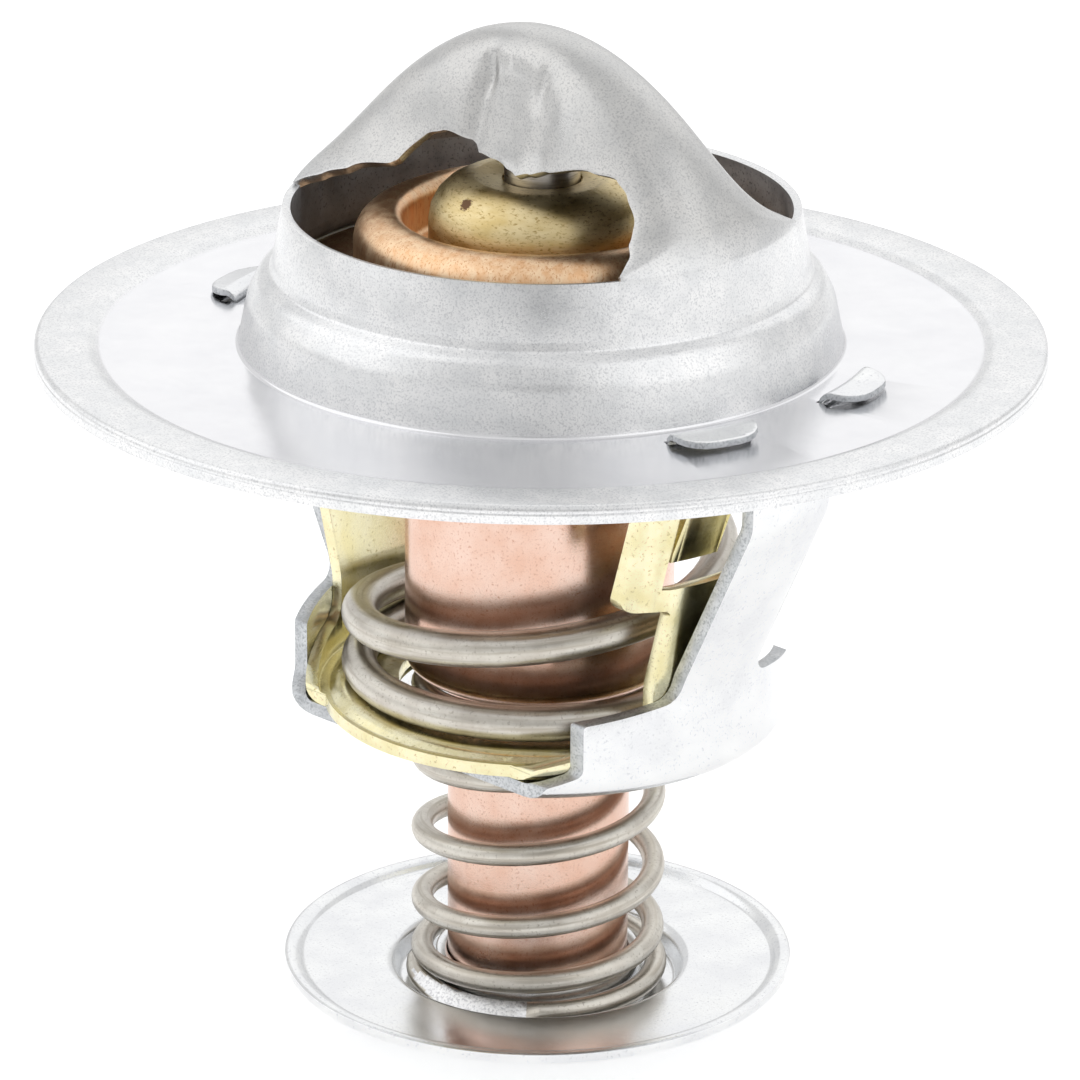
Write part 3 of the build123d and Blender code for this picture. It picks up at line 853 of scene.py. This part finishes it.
def spring_seat_frame():
    """Frame that carries the main spring, its legs hooked under the flange."""
    top = FLANGE_TOP
    foot = top - PRESSING_SHEET - SEAT_SHEET
    section = [
        (SEAT_HOLE_RADIUS, SEAT_BOTTOM + SEAT_STEP),
        (SEAT_PLATFORM_RADIUS - 0.3, SEAT_BOTTOM + SEAT_STEP),
        (SEAT_PLATFORM_RADIUS + 0.3, SEAT_BOTTOM),
        (SEAT_LEG_RADIUS, SEAT_BOTTOM),
        (SEAT_LEG_RADIUS, top - STRAP_LEAN[0]),
        (SEAT_LEG_TOP_RADIUS, top - SEAT_EAR_DROP),
        (SEAT_HEAD_RADIUS, foot),
        (SEAT_FOOT_RADIUS, foot),
    ]
    bends = [(1, 0.3), (2, 0.9), (3, 0.95), (4, 3.0), (6, 0.4)]
    skin = thicken(turned(section, bends), SEAT_SHEET, downward)
    plate_edge = SEAT_BOTTOM + SEAT_SHEET
    ear = top - SEAT_EAR_DROP + SEAT_EAR_CLEAR
    half = [
        (SEAT_PLATE_HALF, SEAT_BOTTOM - BELOW, 0),
        (SEAT_PLATE_HALF, plate_edge + 0.1, 0.5),
        (SEAT_LEG_HALF, plate_edge + 2.2, 1.5),
        (SEAT_LEG_HALF, ear, 0.5),
        (SEAT_EAR_HALF, ear, 0.9),
        (SEAT_EAR_HALF, top, 0),
    ]
    bm = carve(skin, leg_room(half), "INTERSECT")
    slit = top - SEAT_SLIT_DROP
    tongue = top - SEAT_WINDOW_DROP[1]
    for side in (1, -1):
        reach = sorted((0, side * ROOM))
        near, far = (-side * place for place in SEAT_TONGUE)
        edge = side * SEAT_WINDOW_HALF
        openings = [
            (sorted((-edge, edge)), (top - SEAT_WINDOW_DROP[0], tongue)),
            (sorted((-edge, far)), (tongue - OVERLAP, slit)),
            (sorted((near, edge)), (tongue - OVERLAP, slit)),
        ]
        for across, heights in openings:
            bm = carve(bm, block(reach, across, heights), "DIFFERENCE")
    for vert in bm.verts:
        x, y, z = vert.co
        outward = 1 if x > 0 else -1
        if z > top - SEAT_EAR_DROP - 0.2:
            turned_in = max(0.0, abs(y) - SEAT_EAR_BEND[0])
            vert.co.x -= outward * SEAT_EAR_BEND[1] * turned_in * easing(turned_in / 0.6)
        on_tongue = SEAT_TONGUE[0] - 0.2 < -outward * y < SEAT_TONGUE[1] + 0.1
        if on_tongue and tongue - 0.1 < z < slit:
            vert.co.x -= outward * SEAT_TONGUE_BEND * easing((slit - 1.5 - z) / 3)
    disc = section[:3] + [(SEAT_FLANGE_RADIUS, SEAT_BOTTOM)]
    platform = thicken(turned(disc, bends[:2]), SEAT_SHEET, downward)
    bm = carve(bm, platform, "UNION")
    return ease(bm, 0.08)


# ---- valve, guide body, cup, barrel and pin -------------------------------

GUIDE_RADIUS = 7.15
PIN_RADIUS = high("piston_pin", "x")
CUP_RADIUS = high("wax_cup", "x")
CUP_WALL = 0.9
BARREL_RADIUS = high("lower_barrel", "x")
VALVE_RADIUS = high("valve_plate", "x")
VALVE_TOP = high("valve_plate")
VALVE_FLANGE_TOP = low("valve_plate") + VALVE_SHEET
VALVE_FLOOR_TOP = high("wax_cup") + VALVE_SHEET
CREST_INNER, CREST_OUTER = 8.75, 11.86
CREST_BENDS = (0.85, 1.9)  # at the crest's inner and outer side
GUIDE_TOP = high("guide_body")
DISH_WIDTH, DISH_DEPTH = 1.7, 0.16  # round the pin, in the guide's top
NICK = (-0.65, -6.12, FLANGE_TOP + 10.1)  # on the shoulder of the guide's dome
CORE = 0.5  # radius at which a turned piece's ends are closed flat


def valve_plate():
    """Valve pressed with a rounded crest round the guide body."""
    section = [
        (GUIDE_RADIUS, VALVE_FLOOR_TOP),
        (CREST_INNER, VALVE_FLOOR_TOP),
        (CREST_INNER, VALVE_TOP),
        (CREST_OUTER, VALVE_TOP),
        (CREST_OUTER, VALVE_FLANGE_TOP),
        (VALVE_RADIUS, VALVE_FLANGE_TOP),
    ]
    bm = turned(section, [(1, 0.5), (2, CREST_BENDS[0]), (3, CREST_BENDS[1]), (4, 0.6)])
    thicken(bm, VALVE_SHEET, lambda face: face.normal.z > 0)
    return ease(bm, 0.12)


def guide_body():
    """Turned guide body: rounded dome with a shallow dish round the pin."""
    bottom = low("guide_body")
    dish = PIN_RADIUS + 0.12
    section = [
        (dish, bottom), (CUP_RADIUS - CUP_WALL - 0.02, bottom),
        (CUP_RADIUS - CUP_WALL - 0.02, VALVE_FLOOR_TOP - VALVE_SHEET),
        (GUIDE_RADIUS - 0.01, VALVE_FLOOR_TOP - VALVE_SHEET),
        (GUIDE_RADIUS - 0.01, GUIDE_TOP),
        (dish + DISH_WIDTH, GUIDE_TOP), (dish, GUIDE_TOP - DISH_DEPTH),
    ]
    bm = turned(section, [(4, 2.85), (5, 4.0)], closed=True)
    return ease(bm, 0.08)


def wax_cup():
    """Deep-drawn cup with a small corner and an inward shoulder."""
    top, bottom = high("wax_cup"), low("wax_cup")
    section = [
        (CUP_RADIUS, top), (CUP_RADIUS, bottom),
        (BARREL_RADIUS + 0.02, bottom), (BARREL_RADIUS + 0.02, bottom + CUP_WALL),
        (CUP_RADIUS - CUP_WALL, bottom + CUP_WALL), (CUP_RADIUS - CUP_WALL, top),
    ]
    return ease(turned(section, [(1, 1.0)], closed=True), 0.05)


def solid_round(radius, bottom, top, bends, steps=TURN_STEPS):
    """Solid turned bar with flat ends."""
    section = [(CORE, bottom), (radius, bottom), (radius, top), (CORE, top)]
    return capped(turned(section, bends, steps=steps))


def lower_barrel():
    """Closed barrel with an eased lower end, its top inside the cup."""
    top = low("wax_cup") + CUP_WALL + 0.2
    return solid_round(BARREL_RADIUS, low("lower_barrel"), top, [(1, 0.5)])


def piston_pin():
    """Ground pin with a rounded inner end."""
    bottom, top = low("piston_pin"), high("piston_pin")
    return solid_round(PIN_RADIUS, bottom, top, [(1, 0.8), (2, 0.15)], steps=96)


# ---- bypass plate and its ring --------------------------------------------

PLATE_RADIUS = 16.6
PLATE_WELL = 9.3
PLATE_FLOOR = low("bypass_plate") + PLATE_SHEET
PLATE_FACE = PLATE_FLOOR + 1.6
PLATE_RIM_RAISE = 0.6


def bypass_plate():
    """Dished plate: guide neck, well, face and rolled rim."""
    neck = BARREL_RADIUS + 0.05 + PLATE_SHEET
    section = [
        (neck, high("bypass_plate")),
        (neck, PLATE_FLOOR),
        (PLATE_WELL - 0.25, PLATE_FLOOR),
        (PLATE_WELL + 0.25, PLATE_FACE),
        (PLATE_RADIUS - 1.25, PLATE_FACE),
        (PLATE_RADIUS - 0.75, PLATE_FACE + PLATE_RIM_RAISE),
        (PLATE_RADIUS, PLATE_FACE + PLATE_RIM_RAISE - 0.1),
    ]
    bm = turned(section, [(1, 0.3), (2, 0.35), (3, 0.8), (4, 0.35), (5, 0.8)])
    thicken(bm, PLATE_SHEET, lambda face: face.normal.z > 0)
    return ease(bm, 0.12)


def retaining_ring():
    """Open spring ring under the plate."""
    bottom, top = low("retaining_ring"), high("retaining_ring")
    inner, outer = BARREL_RADIUS - 0.67, 7.2
    gap = radians(28)
    section = [(inner, bottom), (outer, bottom), (outer, top), (inner, top)]
    bm = capped(turned(section, closed=True, angle=2 * pi - gap, steps=96))
    turn = Matrix.Rotation(gap / 2, 3, "Z")
    bmesh.ops.rotate(bm, verts=bm.verts, cent=(0, 0, 0), matrix=turn)
    return ease(bm, 0.1)


# ---- coil springs ----------------------------------------------------------

COIL_STEPS = 60  # a turn
WIRE_SIDES = 20
WIRE_MAP = "along_wire"


def coil(wire, start, turns, bottom, top, pitch, radius, flats):
    """Coil wound from a circle of wire, one short spin at a time.

    start is the lower end's angle in degrees; pitch(n) and radius(n) give the relative
    rise and the coil's radius at turn n. flats holds the ground ends: the first and last
    turn, the way that the flat faces (outward, up), and its distance(n) from the wire's
    middle.
    """
    bm = bmesh.new()
    ring = bmesh.ops.create_circle(bm, segments=WIRE_SIDES, radius=wire / 2)["verts"]
    upright = Matrix.Rotation(pi / 2, 4, "X")
    place = Matrix.Rotation(radians(start), 4, "Z") @ Matrix.Translation((radius(0), 0, 0))
    bmesh.ops.transform(bm, matrix=place @ upright, verts=ring)
    count = round(turns * COIL_STEPS)
    rises = [pitch((k + 0.5) / COIL_STEPS) for k in range(count)]
    scale = (top - bottom - wire) / sum(rises)
    geom = [*ring, *dict.fromkeys(edge for vert in ring for edge in vert.link_edges)]
    layers = [ring]
    for _ in rises:
        spun = bmesh.ops.spin(
            bm, geom=geom, cent=(0, 0, 0), axis=(0, 0, 1), angle=2 * pi / COIL_STEPS, steps=1,
        )
        geom = spun["geom_last"]
        layers.append([item for item in geom if isinstance(item, bmesh.types.BMVert)])
    height = bottom + wire / 2
    spots = {}
    ground = set()
    for k, layer in enumerate(layers):
        turn = k / COIL_STEPS
        share = radius(turn) / radius(0)
        middle = sum((v.co for v in layer), Vector()) / len(layer)
        outward = Vector((middle.x, middle.y, 0)).normalized()
        centre = Vector((middle.x * share, middle.y * share, height))
        for vert in layer:
            offset = vert.co - middle
            round_wire = atan2(offset.z, offset.dot(outward)) * wire / 2
            spots[vert] = (turn * 2 * pi * radius(0), round_wire)
            for first, last, (out, up), distance in flats:
                facing = outward * out + Vector((0, 0, up))
                proud = offset.dot(facing) - distance(turn)
                if first <= turn <= last and proud > 0:
                    offset -= facing * proud
                    ground.add(vert)
            vert.co = centre + offset
        if k < len(rises):
            height += rises[k] * scale
    capped(bm)
    along = bm.loops.layers.uv.new(WIRE_MAP)
    for face in bm.faces:
        face.material_index = 1 if ground.issuperset(face.verts) else 0
        split = max(spots[v][1] for v in face.verts) - min(spots[v][1] for v in face.verts)
        for loop in face.loops:
            u, v = spots[loop.vert]
            if split > wire and v < 0:
                v += pi * wire
            loop[along].uv = (u, v)
    return bm


MAIN_WIRE = 2.3
MAIN_RADIUS = 11.6


def main_spring():
    """Right-handed spring with closed, ground ends and an open middle."""
    turns = 4.3

    def pitch(n):
        return easing((n - 0.36) / 2.02) * easing((turns - 0.3 - n) / 1.5)

    flats = [
        (0, 0.7, (0, -1), lambda n: 0.44 * MAIN_WIRE),
        (turns - 0.7, turns, (0, 1), lambda n: 0.44 * MAIN_WIRE),
    ]
    return coil(
        MAIN_WIRE, FRONT - 0.75 * 360, turns, low("main_spring"), high("main_spring"), pitch,
        lambda n: MAIN_RADIUS, flats,
    )


BYPASS_WIRE = 1.45
BYPASS_RADIUS = 7.55
BYPASS_FIRST_RADIUS = 7.9
BYPASS_FLAT = radians(48)  # how far the ground flat faces up from outward


def bypass_spring():
    """Right-handed spring whose first coil is wider and ground at its end."""
    turns = 5.62

    def pitch(n):
        return min(1.0, (n + 0.25) / 2.6) * easing((turns - 0.1 - n) / 0.8)

    def radius(n):
        return BYPASS_FIRST_RADIUS + (BYPASS_RADIUS - BYPASS_FIRST_RADIUS) * easing(n / 1.2)

    flat = (
        0, 0.25, (cos(BYPASS_FLAT), sin(BYPASS_FLAT)),
        lambda n: BYPASS_WIRE * (0.5 - 0.44 * easing((n - 0.03) / 0.14)),
    )
    return coil(
        BYPASS_WIRE, FRONT - 95, turns, low("bypass_spring"), high("bypass_spring"), pitch,
        radius, [flat],
    )


# ---- pieces in their places -------------------------------------------------

# the second finish paints shade, dark grey, on the inner side of the collar and bridge
zinc = (pressed_zinc_steel(), shaded_zinc_inside())
bright = bright_zinc_steel()
strap_steel = (bright, sheared_edge())
yellow = yellow_zinc_steel()
copper = drawn_copper()
brass = turned_brass()
valve_copper = pressed_copper()
wire = (drawn_spring_wire(), ground_wire_end())
pin_steel = ground_pin_steel()

finished("flange_pressing", flange_pressing(), "housing", "flange_housing", zinc)
finished("strap", lower_strap(), "housing", "lower_strap", strap_steel)
finished("seat_frame", spring_seat_frame(), "housing", "spring_seat_frame",
         yellow)
finished("pin", piston_pin(), "housing", "piston_pin", pin_steel)
finished("valve", valve_plate(), "element", "valve_plate", valve_copper)
finished("guide", guide_body(), "element", "guide_body", brass)
finished("cup", wax_cup(), "element", "wax_cup", copper)
finished("barrel", lower_barrel(), "element", "lower_barrel", copper)
finished("ring", retaining_ring(), "element", "retaining_ring", pin_steel)
finished("bypass_disc", bypass_plate(), "bypass", "bypass_plate", bright)
big_coil = finished("return_spring", main_spring(), "housing", "main_spring",
                    wire)
small_coil = finished("bypass_coil", bypass_spring(), "element", "bypass_spring",
                      wire)


def travel(joint):
    """How far a sliding joint goes, in millimetres."""
    return next(j["range_m"][1] for j in frame["joints"] if j["name"] == joint) / MM


def shortened(node, joint):
    """Share of a spring's length that is left at its joint's limit."""
    return 1 - travel(joint) / (high(node) - low(node))


low("main_spring") * MM
shortened("main_spring", "valve_lift")
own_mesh(big_coil)
high("bypass_spring") * MM
shortened("bypass_spring", "bypass_slide")
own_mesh(small_coil)

hidden = {
    "guide_bush": brass,
    "rubber_sleeve": hidden_finish("moulded_nitrile_rubber", ("#161616", "#262626"), 0.7),
    "anti_extrusion_washer": hidden_finish("cut_sealing_resin", ("#D9D6CC", "#ECEAE2"), 0.5),
    "wax_charge": hidden_finish("copper_filled_wax", ("#6B4A2E", "#8A6544"), 0.6),
}
for name, material in hidden.items():
    slots = frame["nodes"][name].data.materials
    slots.clear()
    slots.append(material)

# ---- floor, light and camera ------------------------------------------------

FLOOR_SIZE = 2.4  # metres
GROUND_GLOW = 0.42
TENT_LEVEL = 0.7  # what lights matt surfaces
WALL_LEVEL = 0.84  # what metal mirrors of the tent
OPENING_LEVEL = 0.74  # and of its opening, as a share of white
OPENING_RISE = radians(20.6)
OPENING_EDGE = (0.6, 0.95)  # cosines of the angle off its middle
CAMERA_SPOT = (0.97, 0.995)  # and of the dark camera in it
CAMERA_DARKNESS = 0.5
LAMP_AIM = (0, 0, 0.035)
CAMERA_DISTANCE, CAMERA_HEIGHT = 0.36064, 0.12196  # metres, from the axis and the flange
CAMERA_PITCH, CAMERA_ROLL = 0.3596, 0.0063  # radians
CAMERA_SENSOR, CAMERA_LENS = 36, 200.62667  # millimetres


def white_card():
    """Matt white card, lit up a little for the camera and for what metal mirrors."""
    material, tree, bsdf, place = begun("white_card", Roughness=0.9)
    fibre = add(
        tree, "ShaderNodeTexNoise", {"Vector": place, "Scale": per_mm(4.0), "Detail": 3.0},
    )[0]
    tone = add(tree, "ShaderNodeMix", {0: fibre, 6: "#F6F6F6", 7: "#FAFAFA"}, data_type="RGBA")[2]
    tree.links.new(tone, bsdf.inputs["Base Color"])
    path = add(tree, "ShaderNodeLightPath", {})
    seen = add(
        tree, "ShaderNodeMath",
        {0: path["Is Camera Ray"], 1: path["Is Glossy Ray"]}, operation="MAXIMUM",
    )[0]
    glow = add(tree, "ShaderNodeMath", {0: seen, 1: GROUND_GLOW}, operation="MULTIPLY")[0]
    lit = add(tree, "ShaderNodeEmission", {"Color": "#FFFFFF", "Strength": glow})[0]
    both = add(tree, "ShaderNodeAddShader", {0: bsdf.outputs[0], 1: lit})[0]
    tree.links.new(both, tree.nodes["Material Output"].inputs["Surface"])
    return material


def floor():
    """Plain pale floor under the barrel's end."""
    bm = bmesh.new()
    bmesh.ops.create_grid(bm, x_segments=2, y_segments=2, size=FLOOR_SIZE / 2)
    obj = as_object(bm, "floor")
    obj.data.materials.append(white_card())


def white_tent():
    """Even pale surroundings, in which metal mirrors the tent's opening and the camera."""
    surroundings = bpy.data.worlds.new("white_tent")
    bpy.context.scene.world = surroundings
    surroundings.use_nodes = True
    tree = surroundings.node_tree
    back = tree.nodes["Background"]
    path = add(tree, "ShaderNodeLightPath", {})
    toward = add(tree, "ShaderNodeTexCoord", {})["Generated"]
    heading = radians(FRONT)
    level = cos(OPENING_RISE)
    way = (cos(heading) * level, sin(heading) * level, sin(OPENING_RISE))
    near = add(tree, "ShaderNodeVectorMath", {0: toward, 1: way}, operation="DOT_PRODUCT")[1]
    wall = add(
        tree, "ShaderNodeMapRange",
        {0: near, 1: OPENING_EDGE[0], 2: OPENING_EDGE[1], 3: WALL_LEVEL, 4: OPENING_LEVEL},
        interpolation_type="SMOOTHSTEP",
    )[0]
    dark = add(
        tree, "ShaderNodeMapRange",
        {0: near, 1: CAMERA_SPOT[0], 2: CAMERA_SPOT[1], 3: 1.0, 4: CAMERA_DARKNESS},
        interpolation_type="SMOOTHSTEP",
    )[0]
    mirror = add(tree, "ShaderNodeMath", {0: wall, 1: dark}, operation="MULTIPLY")[0]
    lit = add(
        tree, "ShaderNodeMix", {0: path["Is Glossy Ray"], 2: TENT_LEVEL, 3: mirror},
    )[0]
    shown = add(tree, "ShaderNodeMix", {0: path["Is Camera Ray"], 2: lit, 3: 1.0})[0]
    tree.links.new(shown, back.inputs["Strength"])
    back.inputs["Color"].default_value = (1, 1, 1, 1)


def softbox(name, place, size, watts):
    """Wide soft lamp, aimed at the part's middle."""
    data = bpy.data.lights.new(name, "AREA")
    data.shape = "RECTANGLE"
    data.size, data.size_y = size
    data.energy = watts
    lamp = bpy.data.objects.new(name, data)
    bpy.context.scene.collection.objects.link(lamp)
    lamp.location = place
    ahead = Vector(LAMP_AIM) - lamp.location
    lamp.rotation_euler = ahead.to_track_quat("-Z", "Y").to_euler()


def long_lens_camera():
    """Camera a little above the flange, looking down at about twenty degrees."""
    heading = radians(FRONT)
    data = bpy.data.cameras.new("camera")
    data.sensor_width = CAMERA_SENSOR
    data.lens = CAMERA_LENS
    data.clip_start = 0.01
    camera = bpy.data.objects.new("camera", data)
    bpy.context.scene.collection.objects.link(camera)
    camera.location = (
        CAMERA_DISTANCE * cos(heading), CAMERA_DISTANCE * sin(heading),
        FLANGE_TOP * MM + CAMERA_HEIGHT,
    )
    reach = -cos(CAMERA_PITCH)
    ahead = Vector((reach * cos(heading), reach * sin(heading), -sin(CAMERA_PITCH)))
    turn = ahead.to_track_quat("-Z", "Y").to_matrix()
    camera.rotation_euler = (turn @ Matrix.Rotation(CAMERA_ROLL, 3, "Z")).to_euler()
    bpy.context.scene.camera = camera


floor()
white_tent()
softbox("left", (-0.5, -0.4, 0.6), (1.0, 0.9), 1.3)
softbox("right", (0.7, 0.15, 0.5), (0.9, 0.8), 0.9)
softbox("back", (-0.35, 0.65, 0.6), (1.0, 0.8), 0.8)
long_lens_camera()
bpy.context.scene.view_settings.view_transform = "Standard"
